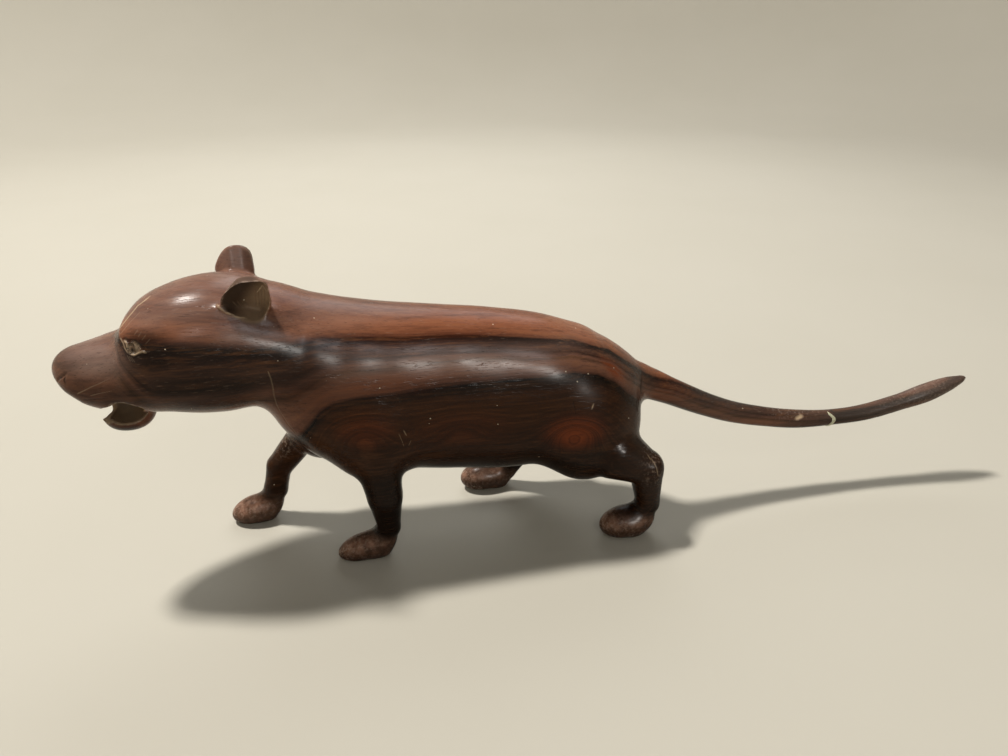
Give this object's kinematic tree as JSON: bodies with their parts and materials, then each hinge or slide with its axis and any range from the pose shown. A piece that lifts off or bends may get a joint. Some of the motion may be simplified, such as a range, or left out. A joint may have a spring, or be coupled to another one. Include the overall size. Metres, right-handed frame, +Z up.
{
  "type": "carved wooden cat figurine",
  "caption": "Walking long-tailed wild cat carved from one block of striped dark rosewood, open mouth, cupped ears and flat paw soles.",
  "frame": {"origin": "on the ground under the middle of the bounding box", "axes": "the head points along -X and the tail along +X, +Y is the cat's right side, +Z is up"},
  "size_m": [0.6996, 0.1116, 0.2292],
  "materials": {
    "rosewood": "sanded, oiled and polished to a satin shine"
  },
  "bodies": {
    "root": {"walking_cat": "rosewood"}
  },
  "joints": []
}
